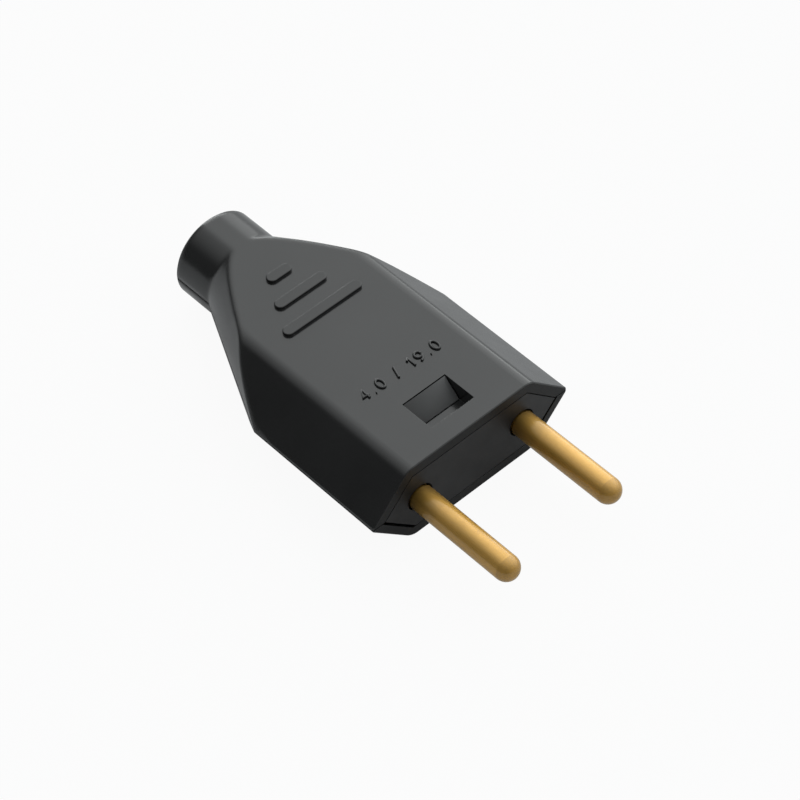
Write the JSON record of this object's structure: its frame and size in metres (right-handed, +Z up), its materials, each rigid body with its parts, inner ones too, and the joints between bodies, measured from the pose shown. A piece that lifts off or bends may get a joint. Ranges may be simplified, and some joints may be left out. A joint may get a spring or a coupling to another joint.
{
  "type": "two-pin plug",
  "caption": "Rewirable plug with a flat six-sided grip that tapers to a round cord tube, round brass pins on a front carrier, a latch window and raised grip bars.",
  "frame": {"origin": "middle of the engagement face, halfway between the pins", "axes": "+X out along the pins, +Z up through the face with the latch window, +Y across the pins"},
  "size_m": [0.0747, 0.0364, 0.0145],
  "materials": {
    "shell_plastic": "satin black moulded plastic",
    "carrier_plastic": "dull black moulded plastic",
    "pin_brass": "turned and tumbled brass",
    "screw_steel": "zinc-plated steel"
  },
  "bodies": {
    "root": {"upper_shell": "shell_plastic", "lower_shell": "shell_plastic", "pin_carrier": "carrier_plastic", "pin_left": "pin_brass", "pin_right": "pin_brass", "terminal_screws": "screw_steel", "cord_clamp": "carrier_plastic", "clamp_screws": "screw_steel", "closing_screw": "screw_steel"}
  },
  "joints": []
}
